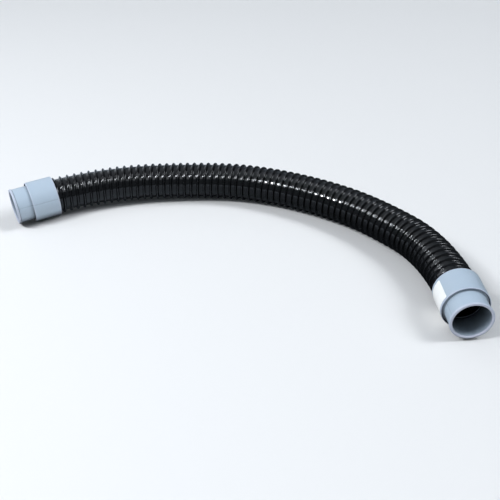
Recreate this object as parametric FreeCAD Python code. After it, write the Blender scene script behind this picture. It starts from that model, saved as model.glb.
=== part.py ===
import FreeCAD, Part
import math
import os

# A spiral-ribbed suction hose with a moulded cuff bonded on each end, lying on a floor.
# Millimetres. X runs from the left cuff's side to the right cuff's side, Y away from the viewer and
# Z up. The floor is Z = 0, and the origin is the bottom centre of the whole.

# Hose
CREST_RADIUS = 22.7          # outside of the ribs
WEB_RADIUS = 20.2            # outside of the wall between the ribs
BORE_RADIUS = 18.75          # nominal 38 mm hose
RIB_PITCH = 8.87
RIB_CREST_WIDTH = 1.0
RIB_FLANK_WIDTH = 1.7

# Cuff, measured along its own axis from the end that the hose enters
CUFF_LENGTH = 53.0
CUFF_RADIUS = 25.0           # wide socket part, which rests on the floor
SHOULDER_X = 32.6
SHOULDER_LIP_WIDTH = 0.9
SHOULDER_RECESS_DEPTH = 1.3
SPIGOT_RADIUS = 21.4
LIP_RADIUS = 22.2            # bead round the mouth
LIP_WIDTH = 2.8
MOUTH_RADIUS = 19.25         # bore that takes a 38 mm fitting
STOP_RADIUS = 18.4           # rib inside that the hose end butts on
STOP_X = 24.0
STOP_WIDTH = 1.2
SOCKET_CLEARANCE = 0.1
EDGE_ROUND = 1.0
MOUTH_ROUND = 0.9

# Bare label on the right cuff
LABEL_THICKNESS = 0.15
LABEL_START_X = 4.0
LABEL_WIDTH = 26.5
LABEL_TOP_ANGLE = 54.0       # degrees down from the top, on the inner side of the bend
LABEL_SPAN_ANGLE = 96.0

# Route of the hose's centreline, from its end in the left cuff to its end in the right cuff
REST_Z = CREST_RADIUS
ROUTE = [
    (-231.6, 104.7, CUFF_RADIUS),
    (-157.0, 141.1, CUFF_RADIUS),
    (-13.8, 141.2, REST_Z),
    (58.5, 120.2, REST_Z),
    (124.7, 82.5, REST_Z),
    (178.8, 36.8, REST_Z),
    (239.0, -51.1, CUFF_RADIUS),
    (241.9, -134.1, CUFF_RADIUS),
]
ARC_SHARE = 0.45             # of the shorter run, used up by each arc


def route_pieces(points):
    """Straight runs joined by tangent arcs, as (kind, length, data) in order."""
    vectors = [FreeCAD.Vector(*p) for p in points]
    pieces = []
    start = vectors[0]
    for before, corner, after in zip(vectors, vectors[1:], vectors[2:]):
        run_in = corner - before
        run_out = after - corner
        turn = run_in.getAngle(run_out)
        tangent_length = ARC_SHARE * min(run_in.Length, run_out.Length)
        radius = tangent_length / math.tan(turn / 2)
        direction_in = FreeCAD.Vector(run_in).normalize()
        direction_out = FreeCAD.Vector(run_out).normalize()
        arc_start = corner - direction_in * tangent_length
        pieces.append(("run", (arc_start - start).Length, (start, direction_in)))
        axis = direction_in.cross(direction_out).normalize()
        to_centre = axis.cross(direction_in)
        centre = arc_start + to_centre * radius
        pieces.append(("arc", radius * turn, (centre, to_centre * -1, direction_in, radius)))
        print("arc at", corner, "radius %.0f mm, %.1f diameters" % (radius, radius / (2 * CREST_RADIUS)))
        start = corner + direction_out * tangent_length
    last = vectors[-1] - start
    pieces.append(("run", last.Length, (start, FreeCAD.Vector(last).normalize())))
    return pieces


def station(pieces, distance):
    """Point and direction of the centreline at a distance from its start."""
    for kind, length, data in pieces[:-1]:
        if distance <= length:
            break
        distance -= length
    else:
        kind, length, data = pieces[-1]
    if kind == "run":
        start, direction = data
        return start + direction * distance, direction
    centre, outward, along, radius = data
    angle = distance / radius
    point = centre + outward * (radius * math.cos(angle)) + along * (radius * math.sin(angle))
    return point, along * math.cos(angle) - outward * math.sin(angle)


def ring(pieces, distance, radius):
    """Circle round the centreline, with its X axis level all the way along."""
    point, direction = station(pieces, distance)
    level = FreeCAD.Vector(0, 0, 1).cross(direction).normalize()
    frame = FreeCAD.Rotation(level, FreeCAD.Vector(), direction, "XZY")
    circle = Part.Circle(FreeCAD.Vector(), FreeCAD.Vector(0, 0, 1), radius).toShape()
    circle.Placement = FreeCAD.Placement(point, frame)
    return Part.Wire([circle])


def centreline(pieces):
    """The route as one wire of straight edges and arcs."""
    edges = []
    distance = 0
    for kind, length, data in pieces:
        start, middle, end = (station(pieces, distance + share * length)[0] for share in (0, 0.5, 1))
        curve = Part.LineSegment(start, end) if kind == "run" else Part.Arc(start, middle, end)
        edges.append(curve.toShape())
        distance += length
    return Part.Wire(edges)


def make_hose(pieces):
    """Ribbed wall with its bore: a ruled body through the ribs' rings, less a pipe along the centreline."""
    total = sum(length for kind, length, data in pieces)
    count = int((total - RIB_PITCH) / RIB_PITCH) + 1
    first = (total - (count - 1) * RIB_PITCH) / 2
    half_crest = RIB_CREST_WIDTH / 2
    half_base = half_crest + RIB_FLANK_WIDTH
    outside = [ring(pieces, 0, WEB_RADIUS)]
    for index in range(count):
        middle = first + index * RIB_PITCH
        outside.append(ring(pieces, middle - half_base, WEB_RADIUS))
        outside.append(ring(pieces, middle - half_crest, CREST_RADIUS))
        outside.append(ring(pieces, middle + half_crest, CREST_RADIUS))
        outside.append(ring(pieces, middle + half_base, WEB_RADIUS))
    outside.append(ring(pieces, total, WEB_RADIUS))
    bore = centreline(pieces).makePipe(Part.Face(ring(pieces, 0, BORE_RADIUS)))
    hose = Part.makeLoft(outside, True, True).cut(bore).Solids[0]
    wall = math.pi * (WEB_RADIUS ** 2 - BORE_RADIUS ** 2) * total
    rib = math.pi * (CREST_RADIUS ** 2 - WEB_RADIUS ** 2) * (RIB_CREST_WIDTH + RIB_FLANK_WIDTH)
    print("hose length %.1f, ribs %d, first %.2f" % (total, count, first))
    print("hose volume %.0f, section times length %.0f" % (hose.Volume, wall + count * rib))
    return hose


def corner_arc(centre_x, centre_r, radius, from_degrees, to_degrees):
    """Round corner of the cuff's outline, in the X-Z plane."""
    spots = []
    for degrees in (from_degrees, (from_degrees + to_degrees) / 2, to_degrees):
        angle = math.radians(degrees)
        spots.append(FreeCAD.Vector(centre_x + radius * math.cos(angle), 0, centre_r + radius * math.sin(angle)))
    return Part.Arc(*spots).toShape()


def closed_wire(parts):
    """Joins corner arcs with straight edges into one closed wire."""
    edges = []
    for part, following in zip(parts, parts[1:] + parts[:1]):
        if isinstance(part, Part.Shape):
            edges.append(part)
            tail = part.lastVertex(True).Point
        else:
            tail = part
        head = following.firstVertex(True).Point if isinstance(following, Part.Shape) else following
        if (head - tail).Length > 1e-6:
            edges.append(Part.LineSegment(tail, head).toShape())
    return Part.Wire(edges)


def corner(x, r):
    """Corner of a section in the X-Z plane."""
    return FreeCAD.Vector(x, 0, r)


def make_cuff():
    """One-piece cuff round the X axis: socket, recessed shoulder, spigot and a bead round the mouth."""
    socket_radius = CREST_RADIUS + SOCKET_CLEARANCE
    recess_x = SHOULDER_X - SHOULDER_RECESS_DEPTH
    recess_radius = CUFF_RADIUS - SHOULDER_LIP_WIDTH
    lip_round = SHOULDER_LIP_WIDTH * 0.45
    bead_x = CUFF_LENGTH - LIP_WIDTH
    bead_step = LIP_RADIUS - SPIGOT_RADIUS
    outline = [
        corner(0, socket_radius + EDGE_ROUND / 2),
        corner_arc(EDGE_ROUND, CUFF_RADIUS - EDGE_ROUND, EDGE_ROUND, 180, 90),
        corner_arc(SHOULDER_X - lip_round, CUFF_RADIUS - lip_round, lip_round, 90, 0),
        corner(SHOULDER_X, recess_radius),
        corner(recess_x, recess_radius - SHOULDER_RECESS_DEPTH / 2),
        corner(recess_x, SPIGOT_RADIUS),
        corner(bead_x - bead_step, SPIGOT_RADIUS),
        corner(bead_x, LIP_RADIUS),
        corner_arc(CUFF_LENGTH - MOUTH_ROUND, LIP_RADIUS - MOUTH_ROUND, MOUTH_ROUND, 90, 0),
        corner_arc(CUFF_LENGTH - MOUTH_ROUND, MOUTH_RADIUS + MOUTH_ROUND, MOUTH_ROUND, 0, -90),
        corner(STOP_X + STOP_WIDTH, MOUTH_RADIUS),
        corner(STOP_X + STOP_WIDTH, STOP_RADIUS),
        corner(STOP_X, STOP_RADIUS),
        corner(STOP_X, socket_radius),
        corner(EDGE_ROUND / 2, socket_radius),
    ]
    section = Part.Face(closed_wire(outline))
    return section.revolve(FreeCAD.Vector(), FreeCAD.Vector(1, 0, 0), 360)


def make_label():
    """Thin curved sticker on the socket part of a cuff, round the X axis from the top down one side."""
    outline = [
        corner(LABEL_START_X, CUFF_RADIUS),
        corner(LABEL_START_X, CUFF_RADIUS + LABEL_THICKNESS),
        corner(LABEL_START_X + LABEL_WIDTH, CUFF_RADIUS + LABEL_THICKNESS),
        corner(LABEL_START_X + LABEL_WIDTH, CUFF_RADIUS),
    ]
    section = Part.Face(closed_wire(outline))
    section.rotate(FreeCAD.Vector(), FreeCAD.Vector(1, 0, 0), LABEL_TOP_ANGLE)
    return section.revolve(FreeCAD.Vector(), FreeCAD.Vector(1, 0, 0), LABEL_SPAN_ANGLE)


def cuff_placement(end, inner):
    """Puts a cuff's X axis along the end run of the route, with its stop rib at the hose's end."""
    outward = (FreeCAD.Vector(*end) - FreeCAD.Vector(*inner)).normalize()
    yaw = math.degrees(math.atan2(outward.y, outward.x))
    origin = FreeCAD.Vector(*end) - outward * STOP_X
    return FreeCAD.Placement(origin, FreeCAD.Rotation(FreeCAD.Vector(0, 0, 1), yaw))


def main():
    os.makedirs("parts", exist_ok=True)
    pieces = route_pieces(ROUTE)
    left = cuff_placement(ROUTE[0], ROUTE[1])
    right = cuff_placement(ROUTE[-1], ROUTE[-2])
    solids = {
        "hose": make_hose(pieces),
        "left_cuff": make_cuff(),
        "right_cuff": make_cuff(),
        "blank_label": make_label(),
    }
    solids["left_cuff"].Placement = left
    solids["right_cuff"].Placement = right
    solids["blank_label"].Placement = right
    whole = FreeCAD.BoundBox()
    for name, solid in solids.items():
        print(name, "valid", solid.isValid(), "solids", len(solid.Solids), "volume %.0f" % solid.Volume)
        whole.add(solid.optimalBoundingBox(False))
        solid.exportStep("parts/%s.step" % name)
    print("whole box", whole)
    for name, placement in (("left", left), ("right", right)):
        mouth = placement.multVec(FreeCAD.Vector(CUFF_LENGTH, 0, 0))
        print(name, "mouth", mouth, "axis", placement.Rotation.multVec(FreeCAD.Vector(1, 0, 0)))


main()
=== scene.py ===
"""Dresses a ribbed pool vacuum hose with a moulded cuff on each end, lying on a pale studio floor.

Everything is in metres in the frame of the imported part: +X from the left cuff's side to the right
cuff's side, +Y away from the viewer, +Z up, and the floor at Z = 0. Angles round the hose and the
cuffs start from straight up, and grow to the right of the way from the left to the right cuff.
"""

import logging
import math
from dataclasses import dataclass
from enum import Enum

import bmesh
import bpy
import numpy as np
from mathutils import Matrix, Vector

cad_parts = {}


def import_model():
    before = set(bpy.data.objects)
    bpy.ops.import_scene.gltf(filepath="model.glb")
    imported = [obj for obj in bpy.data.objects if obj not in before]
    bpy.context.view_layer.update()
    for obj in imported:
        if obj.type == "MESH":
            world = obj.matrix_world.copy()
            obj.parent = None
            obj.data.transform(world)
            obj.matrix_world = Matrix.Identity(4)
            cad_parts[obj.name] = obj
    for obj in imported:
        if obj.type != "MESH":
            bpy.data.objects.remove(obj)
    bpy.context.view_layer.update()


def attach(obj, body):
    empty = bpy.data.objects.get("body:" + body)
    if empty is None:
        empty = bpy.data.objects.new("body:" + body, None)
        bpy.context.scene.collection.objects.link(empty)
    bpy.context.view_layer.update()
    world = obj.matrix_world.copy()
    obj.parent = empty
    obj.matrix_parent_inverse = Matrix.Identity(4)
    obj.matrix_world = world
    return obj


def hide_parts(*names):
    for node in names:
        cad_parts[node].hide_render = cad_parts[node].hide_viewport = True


LOG = logging.getLogger("vacuum_hose")
BODY = "root"
MM = 0.001
UP = np.array([0.0, 0.0, 1.0])
SAME_PLACE = 0.001 * MM
# Name of the mesh attribute with painted light: a paler painted highlight on edges, painted shade in
# grooves
PAINTED_LIGHT = "painted_light"
WHITE = "#FFFFFF"

Place = tuple[float, float, float]
Colour = tuple[float, float, float, float]
Face = tuple[int, ...]
Tree = bpy.types.NodeTree
Socket = bpy.types.NodeSocket

# The hose's route, as control points of its centreline, from its end in the left cuff
ROUTE = (
    (-0.2316, 0.1047, 0.0250),
    (-0.1570, 0.1411, 0.0250),
    (-0.0138, 0.1412, 0.0227),
    (0.0585, 0.1202, 0.0227),
    (0.1247, 0.0825, 0.0227),
    (0.1788, 0.0368, 0.0227),
    (0.2390, -0.0511, 0.0250),
    (0.2419, -0.1341, 0.0250),
)


class Winding(Enum):
    """Which way the strip turns as it goes along the hose, as the sign of its lead."""

    LEFT_HANDED = -1
    RIGHT_HANDED = 1


class CuffEnd(Enum):
    """Which end of the route a cuff sits on, as the sign of its mouth's direction along the route."""

    LEFT = -1
    RIGHT = 1


def linear(colour: str) -> Colour:
    """Turn an sRGB hex colour into the linear colour that shaders take.

    Args:
        colour: The colour as "#RRGGBB".

    Returns:
        Linear red, green and blue, and an alpha of 1.
    """
    shares = [int(colour[start : start + 2], 16) / 255 for start in (1, 3, 5)]
    red, green, blue = (c / 12.92 if c <= 0.04045 else ((c + 0.055) / 1.055) ** 2.4 for c in shares)
    return red, green, blue, 1.0


def add_node(tree: Tree, kind: str, inputs: dict | None = None, **settings: str) -> bpy.types.Node:
    """Add one node with its settings and links.

    Args:
        tree: The node tree that gets the node.
        kind: The node's Blender type.
        inputs: A value or an output socket for each named or numbered input.
        **settings: The node's own properties.

    Returns:
        The new node.
    """
    node = tree.nodes.new(kind)
    for name, value in settings.items():
        setattr(node, name, value)
    for name, value in (inputs or {}).items():
        if isinstance(value, Socket):
            tree.links.new(value, node.inputs[name])
        else:
            node.inputs[name].default_value = value
    return node


def noise(tree: Tree, size: float, detail: float) -> Socket:
    """Add a noise pattern that is fixed to the object.

    Args:
        tree: The node tree that gets it.
        size: How large its blotches are.
        detail: How many finer layers are in it.

    Returns:
        The socket with its level, from 0 to 1.
    """
    place = add_node(tree, "ShaderNodeTexCoord").outputs["Object"]
    inputs = {"Vector": place, "Scale": 1 / size, "Detail": detail}
    return add_node(tree, "ShaderNodeTexNoise", inputs).outputs["Fac"]


def ramp(
    tree: Tree,
    value: Socket,
    start: float,
    end: float,
    low: float = 0.0,
    high: float = 1.0,
    slope: str = "LINEAR",
) -> Socket:
    """Turn one range of values into another, and hold the result beyond both ends.

    Args:
        tree: The node tree that gets it.
        value: The socket that is turned.
        start: The value that gives low.
        end: The value that gives high.
        low: The result at the start.
        high: The result at the end.
        slope: Blender's name for the slope between them.

    Returns:
        The socket with the result.
    """
    inputs = {"Value": value, "From Min": start, "From Max": end, "To Min": low, "To Max": high}
    node = add_node(tree, "ShaderNodeMapRange", inputs, interpolation_type=slope)
    return node.outputs["Result"]


def mix(
    tree: Tree, share: float | Socket, first: Colour | Socket, second: Colour | Socket, blend: str = "MIX"
) -> Socket:
    """Mix two colours.

    Args:
        tree: The node tree that gets it.
        share: The share of the second colour.
        first: The first colour.
        second: The second colour.
        blend: Blender's name for the way of mixing.

    Returns:
        The socket with the mixed colour.
    """
    inputs = {"Fac": share, "Color1": first, "Color2": second}
    return add_node(tree, "ShaderNodeMixRGB", inputs, blend_type=blend).outputs["Color"]


def bump(tree: Tree, height: Socket, depth: float, under: Socket | None = None) -> Socket:
    """Make a pattern stand out of the surface.

    Args:
        tree: The node tree that gets it.
        height: The socket with the pattern's level.
        depth: How far its highest level stands out.
        under: The socket with the normals of a coarser pattern under it.

    Returns:
        The socket with the normals.
    """
    inputs = {"Height": height, "Distance": depth}
    if under is not None:
        inputs["Normal"] = under
    return add_node(tree, "ShaderNodeBump", inputs).outputs["Normal"]


def new_material(name: str) -> tuple[bpy.types.Material, Tree]:
    """Make an empty node material.

    Args:
        name: The material's name.

    Returns:
        The material and its node tree.
    """
    material = bpy.data.materials.new(name)
    material.use_nodes = True
    material.node_tree.nodes.clear()
    return material, material.node_tree


def add_surface(tree: Tree, inputs: dict) -> None:
    """Add a material's shader and its output.

    Args:
        tree: The material's node tree.
        inputs: A value or an output socket for each of the shader's inputs.
    """
    shader = add_node(tree, "ShaderNodeBsdfPrincipled", inputs)
    add_node(tree, "ShaderNodeOutputMaterial", {"Surface": shader.outputs["BSDF"]})


def band(low: int, high: int, count: int) -> list[Face]:
    """Join two rings of vertices with a band of faces.

    Args:
        low: The first vertex of one ring.
        high: The first vertex of the other ring.
        count: How many vertices each ring has.

    Returns:
        Vertex numbers of each face.
    """
    nexts = [(here + 1) % count for here in range(count)]
    return [(low + here, low + after, high + after, high + here) for here, after in enumerate(nexts)]


def mesh_object(
    name: str, points: np.ndarray, faces: list[Face], crease_degrees: float, painted_light: np.ndarray | None = None
) -> bpy.types.Object:
    """Make a smooth-shaded closed mesh whose sharper edges stay sharp.

    Args:
        name: The object's name.
        points: One row of x, y and z for each vertex.
        faces: Vertex numbers of each face. Points in one place are merged, and faces that this
            leaves without an area go.
        crease_degrees: Edges that turn by more than this stay sharp.
        painted_light: Painted light on each vertex, from -1 for painted shade to 1 for painted highlight.

    Returns:
        The object, linked to the scene.
    """
    mesh = bpy.data.meshes.new(name)
    mesh.from_pydata(points.tolist(), [], faces)
    if painted_light is not None:
        mesh.attributes.new(PAINTED_LIGHT, "FLOAT", "POINT").data.foreach_set("value", painted_light.astype(np.float32))
    work = bmesh.new()
    work.from_mesh(mesh)
    bmesh.ops.remove_doubles(work, verts=work.verts, dist=SAME_PLACE)
    bmesh.ops.recalc_face_normals(work, faces=work.faces)
    work.to_mesh(mesh)
    work.free()
    mesh.shade_smooth()
    mesh.set_sharp_from_angle(angle=math.radians(crease_degrees))
    made = bpy.data.objects.new(name, mesh)
    bpy.context.collection.objects.link(made)
    return made


def dress(piece: bpy.types.Object, material: bpy.types.Material, slot: str, *nodes: str) -> None:
    """Give a piece its finish, its body and the CAD nodes that it stands for.

    Args:
        piece: The finished piece.
        material: Its material.
        slot: The record's material slot; not used.
        *nodes: The CAD nodes that it replaces.
    """
    piece.data.materials.append(material)
    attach(piece, BODY)
    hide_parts(*nodes)
    LOG.info("%s: %d faces, %s", piece.name, len(piece.data.polygons), material.name)


@dataclass(frozen=True)
class WoundPolyethylene:
    """Black polyethylene strip, extruded hot and wound on a mandrel, so it has a glossy skin.

    The eye sees sharp lamp highlights on the ribs, and the sheen of the skin over them. The web
    between the ribs is faintly mottled where the strip cooled unevenly.
    """

    colour: str = "#070708"
    roughness_low: float = 0.05
    roughness_high: float = 0.15
    coat: float = 0.35
    coat_roughness: float = 0.06
    ior: float = 1.50
    mottle_size: float = 3.0 * MM
    mottle_depth: float = 0.03 * MM
    mottle_detail: float = 3.0
    glossiest_mottle: float = 0.35
    dullest_mottle: float = 0.7
    ripple_size: float = 12.0 * MM
    ripple_depth: float = 0.10 * MM
    ripple_detail: float = 2.0

    def material(self) -> bpy.types.Material:
        """Build the material.

        Returns:
            The finished material.
        """
        material, tree = new_material("wound_polyethylene_glossy_black")
        mottle = noise(tree, self.mottle_size, self.mottle_detail)
        ripple = noise(tree, self.ripple_size, self.ripple_detail)
        limits = (self.glossiest_mottle, self.dullest_mottle, self.roughness_low, self.roughness_high)
        roughness = ramp(tree, mottle, *limits)
        large = bump(tree, ripple, self.ripple_depth)
        fine = bump(tree, mottle, self.mottle_depth, large)
        inputs = {
            "Base Color": linear(self.colour),
            "Roughness": roughness,
            "IOR": self.ior,
            "Normal": fine,
            "Coat Weight": self.coat,
            "Coat Roughness": self.coat_roughness,
            "Coat Normal": fine,
        }
        add_surface(tree, inputs)
        return material


@dataclass(frozen=True)
class MouldedPvc:
    """Pale blue-grey rigid PVC, injection moulded in a fine-blasted tool, so it is satin.

    The eye sees a soft broad sheen, a very faint cloudiness in the colour and an even fine grain. The
    rims and edges get a paler painted highlight, and painted shade darkens the grooves and the parts that
    little light reaches.
    """

    colour: str = "#B1BFCB"
    clouded: str = "#AAB9C6"
    # Colours of the painted highlight on rims and edges, and of the painted shade in grooves
    painted_highlight: str = "#C6C8D6"
    painted_groove_shade: str = "#14171A"
    most_painted_light: float = 0.85
    # Painted shade: the colour that corners and the mouth's inside darken towards
    shaded: str = "#14181C"
    shade_reach: float = 45.0 * MM
    lit_openness: float = 0.60
    dark_openness: float = 0.14
    roughness: float = 0.36
    ior: float = 1.53
    coat: float = 0.12
    coat_roughness: float = 0.12
    cloud_size: float = 22.0 * MM
    cloud_detail: float = 3.0
    grain_size: float = 0.45 * MM
    grain_depth: float = 0.012 * MM
    grain_detail: float = 2.0

    def material(self) -> bpy.types.Material:
        """Build the material.

        Returns:
            The finished material.
        """
        material, tree = new_material("moulded_pvc_satin_blue_grey")
        cloud = noise(tree, self.cloud_size, self.cloud_detail)
        grain = noise(tree, self.grain_size, self.grain_detail)
        colour = mix(tree, cloud, linear(self.colour), linear(self.clouded))
        painted_light = add_node(tree, "ShaderNodeAttribute", attribute_name=PAINTED_LIGHT).outputs["Fac"]
        # Painted highlight on rims and edges, and painted shade in grooves, from each vertex's painted
        # light
        for full, tone in ((1.0, self.painted_highlight), (-1.0, self.painted_groove_shade)):
            share = ramp(tree, painted_light, 0.0, full, high=self.most_painted_light)
            colour = mix(tree, share, colour, linear(tone))
        # Painted shade: the colour darkens where little of the room is open to the surface
        sky = add_node(tree, "ShaderNodeAmbientOcclusion", {"Distance": self.shade_reach})
        shade = ramp(tree, sky.outputs["AO"], self.lit_openness, self.dark_openness)
        painted_shade_tint = mix(tree, shade, linear(WHITE), linear(self.shaded))
        inputs = {
            "Base Color": mix(tree, 1.0, colour, painted_shade_tint, "MULTIPLY"),
            "Roughness": self.roughness,
            "IOR": self.ior,
            "Normal": bump(tree, grain, self.grain_depth),
            "Coat Weight": self.coat,
            "Coat Roughness": self.coat_roughness,
        }
        add_surface(tree, inputs)
        return material


@dataclass(frozen=True)
class VinylFilm:
    """White vinyl label film, calendered and die cut, so it is smooth with a soft shine.

    The eye sees plain white with faint orange peel from the glue beneath.
    """

    colour: str = "#FCFBF7"
    shaded: str = "#F6F6F3"
    roughness: float = 0.35
    ior: float = 1.50
    peel_size: float = 4.0 * MM
    peel_depth: float = 0.03 * MM
    peel_detail: float = 2.0

    def material(self) -> bpy.types.Material:
        """Build the material.

        Returns:
            The finished material.
        """
        material, tree = new_material("vinyl_film_die_cut_white")
        peel = noise(tree, self.peel_size, self.peel_detail)
        inputs = {
            "Base Color": mix(tree, peel, linear(self.colour), linear(self.shaded)),
            "Roughness": self.roughness,
            "IOR": self.ior,
            "Normal": bump(tree, peel, self.peel_depth),
        }
        add_surface(tree, inputs)
        return material


def unit_rows(rows: np.ndarray) -> np.ndarray:
    """Give each row's direction, with a length of 1."""
    return rows / np.linalg.norm(rows, axis=1)[:, None]


class Centreline:
    """The hose's line: a NURBS spline over the route, read back as points with their distances."""

    ORDER = 3
    RESOLUTION = 120

    def __init__(self, route: tuple[Place, ...]) -> None:
        """Read the spline's points.

        Args:
            route: The spline's control points.
        """
        curve = bpy.data.curves.new("route", "CURVE")
        curve.dimensions = "3D"
        spline = curve.splines.new("NURBS")
        spline.points.add(len(route) - 1)
        for point, place in zip(spline.points, route):
            point.co = (*place, 1.0)
        spline.order_u = self.ORDER
        spline.use_endpoint_u = True
        spline.resolution_u = self.RESOLUTION
        carrier = bpy.data.objects.new("route", curve)
        line = bpy.data.meshes.new_from_object(carrier)
        self.points = np.array([vertex.co for vertex in line.vertices], float)
        steps = np.linalg.norm(np.diff(self.points, axis=0), axis=1)
        self.distances = np.concatenate([[0.0], np.cumsum(steps)])
        self.headings = np.gradient(self.points, self.distances, axis=0)
        bpy.data.meshes.remove(line)
        bpy.data.objects.remove(carrier)
        bpy.data.curves.remove(curve)

    @property
    def length(self) -> float:
        """The spline's whole length."""
        return float(self.distances[-1])

    def between(self, values: np.ndarray, distance: np.ndarray) -> np.ndarray:
        """Read the line's points or headings at the distances given."""
        return np.stack([np.interp(distance, self.distances, column) for column in values.T], -1)

    def around(self, distance: np.ndarray, angle: np.ndarray, radius: np.ndarray) -> np.ndarray:
        """Find points round the line.

        Args:
            distance: How far along the line each point is.
            angle: Its angle in radians from straight up.
            radius: Its distance from the line.

        Returns:
            One row of x, y and z for each point.
        """
        place = self.between(self.points, distance)
        heading = unit_rows(self.between(self.headings, distance))
        level = unit_rows(np.cross(heading, UP))
        lift = np.cross(level, heading)
        return place + radius[:, None] * (np.cos(angle)[:, None] * lift + np.sin(angle)[:, None] * level)


@dataclass
class WoundHose:
    """The hose: one strip wound in a helix and fused, with a rounded rib along it and a smooth bore."""

    crest_radius: float = 22.7 * MM
    web_radius: float = 20.2 * MM
    bore_radius: float = 18.75 * MM
    pitch: float = 8.889 * MM
    first_crest: float = 7.218 * MM
    rib_half_top: float = 0.5 * MM
    rib_flank: float = 1.7 * MM
    flank_ease: float = 0.5
    end_ease: float = 6.0 * MM
    bore_step: float = 4.0 * MM
    exit_point: Place = (-0.21003, 0.11522, 0.0250)
    winding: Winding = Winding.LEFT_HANDED
    spare_turns: int = 2
    flank_steps: int = 6
    web_steps: int = 3
    segments: int = 96
    crease_degrees: float = 70.0

    def profile(self) -> tuple[np.ndarray, np.ndarray]:
        """Work out one pitch of the strip's outline.

        Returns:
            Distances from the rib's middle, and heights above the web.
        """
        height = self.crest_radius - self.web_radius
        down = np.linspace(0, 1, self.flank_steps + 1)
        flank = self.rib_half_top + down * self.rib_flank
        fall = height * (1 - down + self.flank_ease * np.sin(2 * np.pi * down) / (2 * np.pi))
        half_rib = self.rib_half_top + self.rib_flank
        web = np.linspace(half_rib, self.pitch - half_rib, self.web_steps + 2)[1:-1]
        offsets = np.concatenate([-flank[::-1], [0.0], flank, web])
        heights = np.concatenate([fall[::-1], [height], fall, np.zeros(self.web_steps)])
        return offsets, heights

    def strip_faces(self, rows: int, per_turn: int) -> list[Face]:
        """Join the strip's rows, so that the last column of a turn meets the first of the next turn.

        Args:
            rows: How many rows of vertices the strip has along the hose.
            per_turn: How many of them are in one turn.

        Returns:
            Vertex numbers of each face.
        """
        faces = []
        for row in range(rows - 1):
            for column in range(self.segments):
                turned = row + self.winding.value * per_turn if column == self.segments - 1 else row
                if 0 <= turned < rows - 1:
                    here = row * self.segments + column
                    beside = turned * self.segments + (column + 1) % self.segments
                    faces.append((here, beside, beside + self.segments, here + self.segments))
        return faces

    def mesh(self, line: Centreline) -> bpy.types.Object:
        """Build the wall.

        Args:
            line: The hose's centreline.

        Returns:
            The hose as one closed mesh.
        """
        # The strip runs past both ends of the line, and what is past them is pressed flat there
        offsets, heights = self.profile()
        turns = np.arange(-self.spare_turns, int(line.length / self.pitch) + self.spare_turns)
        leads = (self.first_crest + turns[:, None] * self.pitch + offsets).ravel()
        angles = np.arange(self.segments) * 2 * np.pi / self.segments
        shear = self.winding.value * self.pitch * angles / (2 * np.pi)
        along = np.clip(leads[:, None] + shear, 0, line.length)
        to_end = np.minimum(along, line.length - along)
        share = np.clip(to_end / self.end_ease, 0, 1)
        radii = self.web_radius + np.tile(heights, len(turns))[:, None] * share
        bore_along = np.linspace(0, line.length, int(line.length / self.bore_step))
        distance = np.concatenate([along.ravel(), np.repeat(bore_along, self.segments)])
        radius = np.concatenate([radii.ravel(), np.full(len(bore_along) * self.segments, self.bore_radius)])
        angle = np.tile(angles, len(leads) + len(bore_along))
        rows = len(leads)
        bore = [(rows + index) * self.segments for index in range(len(bore_along))]
        bands = list(zip(bore, bore[1:])) + [(0, bore[0]), ((rows - 1) * self.segments, bore[-1])]
        faces = self.strip_faces(rows, len(offsets))
        for low, high in bands:
            faces += band(low, high, self.segments)
        return mesh_object("ribbed_hose", line.around(distance, angle, radius), faces, self.crease_degrees)

    def build(self, line: Centreline, finish: WoundPolyethylene) -> None:
        """Args:
            line: The hose's centreline.
            finish: Its finish.
        """
        hose = self.mesh(line)
        dress(hose, finish.material(), "hose", "hose")


@dataclass(frozen=True)
class Corner:
    """Corner of a cuff's outline, in millimetres, with painted light from -1 for painted shade to 1 for
    painted highlight.

    Along is measured from the end that the hose enters, and out from the cuff's axis.
    """

    along: float
    out: float
    rounding: float
    painted_light: float


def rounded(corners: tuple[Corner, ...], steps: int = 4) -> np.ndarray:
    """Round the corners of a closed outline.

    Args:
        corners: The outline's corners in order.
        steps: Straight pieces in each round corner.

    Returns:
        One row of along and out, in millimetres, for each point of the rounded outline.
    """
    places = np.array([(corner.along, corner.out) for corner in corners])
    outline = []
    for index, place in enumerate(places):
        before = places[index - 1] - place
        after = places[(index + 1) % len(places)] - place
        before /= np.linalg.norm(before)
        after /= np.linalg.norm(after)
        half = math.acos(float(np.clip(before @ after, -1, 1))) / 2
        radius = corners[index].rounding
        reach = radius / math.tan(half)
        middle = (before + after) / np.linalg.norm(before + after) * (radius / math.sin(half))
        start = before * reach - middle
        end = after * reach - middle
        sweep = math.pi - 2 * half
        for step in range(steps + 1):
            share = step / steps
            mixed = start * math.sin((1 - share) * sweep) + end * math.sin(share * sweep)
            outline.append(place + middle + mixed / math.sin(sweep))
    return np.array(outline)


def degrees_apart(degrees: np.ndarray, middle: float) -> np.ndarray:
    """Give how far each angle is from one angle, the short way round."""
    return np.abs((degrees - middle + 180) % 360 - 180)


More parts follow.
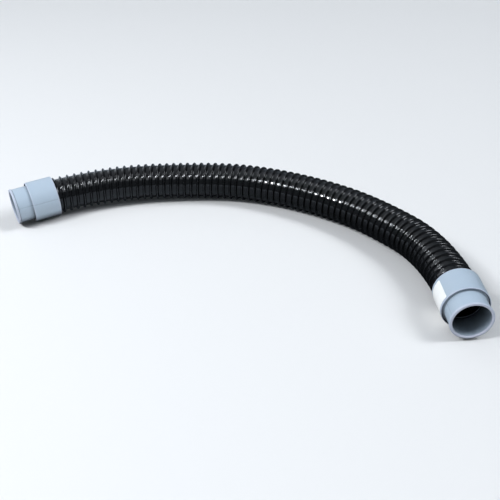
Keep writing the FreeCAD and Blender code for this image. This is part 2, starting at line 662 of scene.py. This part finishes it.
@dataclass
class Cuff:
    """One-piece cuff: a socket over the hose, a dished shoulder, a spigot and a bead round the mouth.

    A fine parting groove runs along it on both sides, with a trimmed gate mark a quarter turn away.
    """

    name: str
    node: str
    end: CuffEnd
    parting_degrees: float
    stop_along: float = 24.0 * MM
    socket_radius: float = 25.0 * MM
    segments: int = 128
    crease_degrees: float = 38.0
    # The last number of each corner is painted light: a paler painted highlight on rims and edges, painted
    # shade in grooves and in front of the stop rib
    outside: tuple[Corner, ...] = (
        Corner(0.0, 25.0, 1.0, 0.5),
        Corner(32.6, 25.0, 0.40, 0.6),
        Corner(32.6, 24.1, 0.25, 0.6),
        Corner(31.3, 23.45, 0.50, 0.8),
        Corner(31.3, 21.4, 0.70, 0.0),
        Corner(49.7, 21.4, 0.20, 0.0),
        Corner(49.8, 21.1, 0.10, -0.5),
        Corner(50.2, 21.1, 0.10, -0.5),
        Corner(50.3, 22.2, 0.40, 0.6),
        Corner(53.0, 22.2, 0.95, 0.7),
    )
    inside: tuple[Corner, ...] = (
        Corner(53.0, 19.25, 0.95, 1.0),
        Corner(25.2, 19.25, 0.25, -1.0),
        Corner(25.2, 18.4, 0.25, 0.6),
        Corner(24.0, 18.4, 0.20, 0.0),
        Corner(24.0, 22.8, 0.40, 0.0),
        Corner(0.0, 22.8, 0.50, 0.0),
    )
    # Painted light fades out this far from a corner, on runs that are longer than the second measure
    painted_light_reach: float = 1.2 * MM
    painted_light_long_run: float = 3.6 * MM
    line_width: float = 0.6 * MM
    line_depth: float = 0.22 * MM
    # Painted shade on the floor of each parting groove
    line_painted_shade: float = -0.2
    # Across a groove in halves of its width: its points, the edge of its floor, and the room it needs
    line_points: tuple[int, ...] = (-2, -1, 1, 2)
    line_floor: float = 1.5
    line_room: float = 2.2
    gate_along: float = 9.2 * MM
    gate_turn: float = -90.0
    gate_radius: float = 1.0 * MM
    gate_height: float = 0.25 * MM
    # Painted highlight: the gate stub is painted paler
    gate_painted_highlight: float = 0.8
    gate_segments: int = 16
    # Out from the gate mark's middle and up from the cuff, as shares of its radius and height
    gate_rings: tuple[tuple[float, float], ...] = (
        (0.0, -0.3),
        (1.0, -0.3),
        (1.0, 0.5),
        (0.7, 1.0),
        (0.0, 0.9),
    )

    def axes(self) -> tuple[np.ndarray, np.ndarray, np.ndarray]:
        """Find the cuff's own frame.

        Returns:
            Centre of the end that the hose enters, the way to the mouth, and the level side.
        """
        route = np.array(ROUTE)
        last, inner = (route[0], route[1]) if self.end is CuffEnd.LEFT else (route[-1], route[-2])
        outward = (last - inner) / np.linalg.norm(last - inner)
        side = np.cross(self.end.value * outward, UP)
        return last - outward * self.stop_along, outward, side

    def spots(self, along: np.ndarray, degrees: np.ndarray, radius: np.ndarray) -> np.ndarray:
        """Turn places in the cuff's own frame into points.

        Args:
            along: Distances from the end that the hose enters.
            degrees: Angles from straight up.
            radius: Distances from the axis.

        Returns:
            One row of x, y and z for each place.
        """
        base, outward, side = self.axes()
        angle = np.radians(degrees)[..., None]
        out = np.cos(angle) * UP + np.sin(angle) * side
        return base + along[..., None] * outward + radius[..., None] * out

    def section(self) -> tuple[np.ndarray, np.ndarray, np.ndarray]:
        """Round the outline, with more points near the corners so that their painted light stays there.

        Returns:
            Along and out for each point, 1 where it is on the outside, and its painted light.
        """
        corners = self.outside + self.inside
        outline = rounded(corners) * MM
        steps = len(outline) // len(corners)
        rows = []
        for index, point in enumerate(outline):
            corner = index // steps
            outer = 1.0 if corner < len(self.outside) else 0.0
            rows.append((*point, outer, corners[corner].painted_light))
            gap = outline[(index + 1) % len(outline)] - point
            length = float(np.linalg.norm(gap))
            if length > self.painted_light_long_run:
                share = self.painted_light_reach / length
                rows.append((*(point + share * gap), outer, 0.0))
                rows.append((*(point + (1 - share) * gap), outer, 0.0))
        rows = np.array(rows)
        return rows[:, :2], rows[:, 2], rows[:, 3]

    def ring(self) -> tuple[np.ndarray, np.ndarray]:
        """Space points round the cuff, closely at the parting grooves.

        Returns:
            Their angles in degrees, and 1 for those on the floor of a groove.
        """
        half_line = math.degrees(self.line_width / 2 / self.socket_radius)
        sides = (self.parting_degrees, self.parting_degrees + 180)
        around = np.arange(self.segments) * 360 / self.segments
        for middle in sides:
            kept = around[degrees_apart(around, middle) >= self.line_room * half_line]
            around = np.concatenate([kept, (middle + np.array(self.line_points) * half_line) % 360])
        around.sort()
        nearest = np.min([degrees_apart(around, middle) for middle in sides], axis=0)
        return around, (nearest < self.line_floor * half_line).astype(float)

    def gate(self) -> tuple[np.ndarray, list[Face]]:
        """Shape the small trimmed stub where the plastic entered the mould.

        Returns:
            Its points and faces, a low closed button.
        """
        count = self.gate_segments
        turn = np.arange(count) * 2 * np.pi / count
        middle = self.parting_degrees + self.gate_turn
        points = []
        for share, height in self.gate_rings:
            along = self.gate_along + share * self.gate_radius * np.cos(turn)
            off = np.degrees(share * self.gate_radius * np.sin(turn) / self.socket_radius)
            radius = np.full(count, self.socket_radius + height * self.gate_height)
            points.append(self.spots(along, middle + off, radius))
        faces = []
        for ring in range(len(self.gate_rings) - 1):
            faces += band(ring * count, (ring + 1) * count, count)
        return np.concatenate(points), faces

    def mesh(self) -> bpy.types.Object:
        """Turn the section round the axis and add the gate mark.

        Returns:
            The cuff as one object.
        """
        section, outer, section_painted_light = self.section()
        around, groove = self.ring()
        count = len(around)
        along = np.repeat(section[:, 0], count)
        radius = (section[:, 1][:, None] - outer[:, None] * self.line_depth * groove).ravel()
        # Painted light: the grooves add painted shade to the corners' own
        painted_light = (section_painted_light[:, None] + outer[:, None] * self.line_painted_shade * groove).ravel()
        points = self.spots(along, np.tile(around, len(section)), radius)
        faces = []
        for row in range(len(section)):
            faces += band(row * count, (row + 1) % len(section) * count, count)
        gate_points, gate_faces = self.gate()
        faces += [tuple(len(points) + vertex for vertex in face) for face in gate_faces]
        points = np.concatenate([points, gate_points])
        painted_light = np.concatenate([painted_light, np.full(len(gate_points), self.gate_painted_highlight)])
        return mesh_object(self.name, points, faces, self.crease_degrees, painted_light)

    def build(self, finish: bpy.types.Material) -> None:
        """Build and dress the cuff.

        Args:
            finish: Its material.
        """
        dress(self.mesh(), finish, "cuff", self.node)


@dataclass
class BareLabel:
    """White sticker with nothing on it, wrapped on the socket part of a cuff."""

    cuff: Cuff
    start_along: float = 4.0 * MM
    width: float = 26.5 * MM
    top_degrees: float = 54.0
    span_degrees: float = 96.0
    thickness: float = 0.15 * MM
    corner: float = 1.2 * MM
    corner_points: int = 6
    steps: int = 48
    columns: int = 12
    crease_degrees: float = 30.0

    def grid(self) -> tuple[np.ndarray, np.ndarray]:
        """Space rows down the label and columns across it, narrower at the round corners.

        Returns:
            Along and degrees for each point, row by row.
        """
        radius = self.cuff.socket_radius
        height = math.radians(self.span_degrees) * radius
        ends = self.corner * (1 - np.cos(np.linspace(0, np.pi / 2, self.corner_points)))
        middle = np.linspace(self.corner, height - self.corner, self.steps)[1:-1]
        down = np.concatenate([ends, middle, height - ends[::-1]])
        into_corner = np.maximum(0, self.corner - np.minimum(down, height - down))
        inset = self.corner - np.sqrt(np.maximum(0, self.corner**2 - into_corner**2))
        share = np.linspace(0, 1, self.columns)
        along = self.start_along + inset[:, None] + share * (self.width - 2 * inset[:, None])
        degrees = np.repeat(self.top_degrees + np.degrees(down / radius), self.columns)
        return along.ravel(), degrees

    def mesh(self) -> bpy.types.Object:
        """Shape the film as a thin closed sheet.

        Returns:
            The label as one object.
        """
        along, degrees = self.grid()
        size = len(degrees)
        rows = size // self.columns
        layers = []
        for lift in (0.0, self.thickness):
            layers.append(self.cuff.spots(along, degrees, np.full(size, self.cuff.socket_radius + lift)))
        faces = []
        for row in range(rows - 1):
            for column in range(self.columns - 1):
                here = row * self.columns + column
                face = (here, here + 1, here + 1 + self.columns, here + self.columns)
                faces += [face, tuple(size + vertex for vertex in reversed(face))]
        rim = list(range(self.columns))
        rim += [row * self.columns + self.columns - 1 for row in range(1, rows)]
        rim += [(rows - 1) * self.columns + column for column in range(self.columns - 2, -1, -1)]
        rim += [row * self.columns for row in range(rows - 2, 0, -1)]
        faces += [(here, after, size + after, size + here) for here, after in zip(rim, rim[1:] + rim[:1])]
        return mesh_object("bare_label", np.concatenate(layers), faces, self.crease_degrees)

    def build(self, finish: VinylFilm) -> None:
        """Build and dress the label.

        Args:
            finish: Its finish.
        """
        dress(self.mesh(), finish.material(), "label", "blank_label")


@dataclass
class StudioCamera:
    """The photograph's viewpoint: from the front, tilted down and a little rolled.

    Its lens and its sensor's width are in millimetres.
    """

    place: Place = (0.0339, -0.6854, 0.4922)
    tilt_degrees: float = 35.32
    roll_radians: float = -0.0501
    lens: float = 52.32
    sensor: float = 36.0
    shift: float = -0.001

    def build(self) -> None:
        """Make the camera and set it as the scene's own."""
        tilt = math.radians(self.tilt_degrees)
        ahead = np.array([0.0, math.cos(tilt), -math.sin(tilt)])
        over = np.array([0.0, math.sin(tilt), math.cos(tilt)])
        across = np.array([1.0, 0.0, 0.0])
        cosine, sine = math.cos(self.roll_radians), math.sin(self.roll_radians)
        right = cosine * across + sine * over
        above = -sine * across + cosine * over
        turned = Matrix([right, above, -ahead]).transposed().to_4x4()
        data = bpy.data.cameras.new("studio_camera")
        data.lens = self.lens
        data.sensor_width = self.sensor
        data.shift_x = self.shift
        camera = bpy.data.objects.new("studio_camera", data)
        camera.matrix_world = Matrix.Translation(Vector(self.place)) @ turned
        bpy.context.collection.objects.link(camera)
        bpy.context.scene.camera = camera


@dataclass(frozen=True)
class SoftBox:
    """Soft light far off in the room, seen only in reflections and by what it lights.

    Bearing is in degrees from +X towards +Y, and height in degrees above the floor. The light is
    full up to the inner angle from its middle, and ends at the outer one.
    """

    bearing: float
    height: float
    inner_degrees: float
    outer_degrees: float
    strength: float
    colour: str = "#F1F7FF"

    def direction(self) -> Place:
        """Give the way to the light's middle."""
        bearing, height = math.radians(self.bearing), math.radians(self.height)
        level = math.cos(height)
        return (math.cos(bearing) * level, math.sin(bearing) * level, math.sin(height))

    def add_to(self, tree: Tree, heading: Socket, light: Socket) -> Socket:
        """Add the light to the room's glow.

        Args:
            tree: The world's node tree.
            heading: The socket with the direction that is looked in.
            light: The socket with the glow so far.

        Returns:
            The socket with the glow and this light.
        """
        ways = {0: heading, 1: self.direction()}
        near = add_node(tree, "ShaderNodeVectorMath", ways, operation="DOT_PRODUCT").outputs["Value"]
        edge = math.cos(math.radians(self.outer_degrees))
        core = math.cos(math.radians(self.inner_degrees))
        level = ramp(tree, near, edge, core, high=self.strength, slope="SMOOTHSTEP")
        tinted = {0: linear(self.colour)[:3], "Scale": level}
        own = add_node(tree, "ShaderNodeVectorMath", tinted, operation="SCALE").outputs["Vector"]
        return add_node(tree, "ShaderNodeVectorMath", {0: light, 1: own}, operation="ADD").outputs["Vector"]


@dataclass(frozen=True)
class Lamp:
    """Soft square lamp above the floor, aimed at its middle.

    Towards is the way from the middle of the floor to the lamp. Share is what the lamp adds there to
    a white surface that faces it, where 1 is white.
    """

    name: str
    towards: Place
    distance: float
    size: float
    share: float
    colour: str

    def build(self) -> None:
        """Hang the lamp."""
        data = bpy.data.lights.new(self.name, "AREA")
        data.size = self.size
        data.energy = self.share * math.pi**2 * self.distance**2
        data.color = linear(self.colour)[:3]
        away = Vector(self.towards).normalized()
        lamp = bpy.data.objects.new(self.name, data)
        lamp.location = away * self.distance
        lamp.rotation_mode = "QUATERNION"
        lamp.rotation_quaternion = away.to_track_quat("Z", "Y")
        bpy.context.collection.objects.link(lamp)


@dataclass
class Studio:
    """Pale floor in a dim room, with soft boxes all round and three lamps above.

    In reflections the floor is darker, and most of all on the right.
    """

    floor_colour: str = "#E3E1DE"
    floor_roughness: float = 0.9
    mirrored_left: str = "#9AA0A6"
    mirrored_right: str = "#34393D"
    mirrored_reach: float = 0.15
    floor_size: float = 12.0
    seen_level: float = 0.85
    dim_colour: str = "#636A71"
    # Bearing, height, inner and outer angle, and strength
    boxes: tuple[SoftBox, ...] = (
        SoftBox(128, 18, 13, 28, 0.75),
        SoftBox(174, 41, 5, 11, 5.2),
        SoftBox(220, 45, 3, 9, 2.6),
        SoftBox(257, 50, 6, 15, 1.1),
        SoftBox(344, 36, 5, 11, 5.5),
        SoftBox(353, 47, 6, 12, 7.5),
        SoftBox(4, 59, 5, 11, 5.5),
        SoftBox(135, 62, 12, 45, 0.25),
        SoftBox(92, 32, 20, 50, 0.05, "#CFE4FF"),
    )
    # Name, way to the lamp, distance, side, share and colour
    lamps: tuple[Lamp, ...] = (
        Lamp("front_lamp", (-0.52, -0.29, 0.80), 2.2, 0.24, 0.28, "#F3F8FF"),
        Lamp("left_lamp", (-0.68, -0.18, 0.71), 2.1, 0.24, 0.37, "#F3F8FF"),
        Lamp("right_lamp", (0.66, -0.10, 0.73), 2.4, 0.50, 0.15, "#F1F7FF"),
    )

    def floor(self) -> None:
        """Lay the floor."""
        half = self.floor_size / 2
        corners = [(-half, -half, 0), (half, -half, 0), (half, half, 0), (-half, half, 0)]
        mesh = bpy.data.meshes.new("floor")
        mesh.from_pydata(corners, [], [(0, 1, 2, 3)])
        floor = bpy.data.objects.new("floor", mesh)
        bpy.context.collection.objects.link(floor)
        material, tree = new_material("painted_board_matt_white")
        mirrored = add_node(tree, "ShaderNodeLightPath").outputs["Is Glossy Ray"]
        place = add_node(tree, "ShaderNodeTexCoord").outputs["Object"]
        across = add_node(tree, "ShaderNodeSeparateXYZ", {"Vector": place}).outputs["X"]
        to_right = ramp(tree, across, -self.mirrored_reach, self.mirrored_reach)
        dimmed = mix(tree, to_right, linear(self.mirrored_left), linear(self.mirrored_right))
        colour = mix(tree, mirrored, linear(self.floor_colour), dimmed)
        add_surface(tree, {"Base Color": colour, "Roughness": self.floor_roughness})
        mesh.materials.append(material)

    def room(self) -> None:
        """Make the room round the object, which a camera sees in the floor's own colour."""
        world = bpy.data.worlds.new("studio_room")
        bpy.context.scene.world = world
        world.use_nodes = True
        tree = world.node_tree
        tree.nodes.clear()
        heading = add_node(tree, "ShaderNodeTexCoord").outputs["Generated"]
        light = add_node(tree, "ShaderNodeRGB").outputs["Color"]
        light.default_value = linear(self.dim_colour)
        for box in self.boxes:
            light = box.add_to(tree, heading, light)
        seen = add_node(tree, "ShaderNodeLightPath").outputs["Is Camera Ray"]
        pale = tuple(self.seen_level * channel for channel in linear(self.floor_colour)[:3])
        shown = mix(tree, seen, light, (*pale, 1.0))
        background = add_node(tree, "ShaderNodeBackground", {"Color": shown})
        add_node(tree, "ShaderNodeOutputWorld", {"Surface": background.outputs["Background"]})

    def build(self) -> None:
        """Make the floor, the room and the lamps, and set how the view is shown."""
        self.floor()
        self.room()
        for lamp in self.lamps:
            lamp.build()
        bpy.context.scene.view_settings.view_transform = "Standard"


def main() -> None:
    """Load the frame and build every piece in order."""
    logging.basicConfig(level=logging.INFO, format="%(name)s: %(message)s")
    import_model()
    StudioCamera().build()
    line = Centreline(ROUTE)
    LOG.info("centreline: %.1f mm", line.length / MM)
    WoundHose().build(line, WoundPolyethylene())
    moulded = MouldedPvc().material()
    left = Cuff("left_moulded_cuff", "left_cuff", CuffEnd.LEFT, parting_degrees=72.5)
    right = Cuff("right_moulded_cuff", "right_cuff", CuffEnd.RIGHT, parting_degrees=69.4)
    left.build(moulded)
    right.build(moulded)
    BareLabel(right).build(VinylFilm())
    Studio().build()


if __name__ == "__main__":
    main()
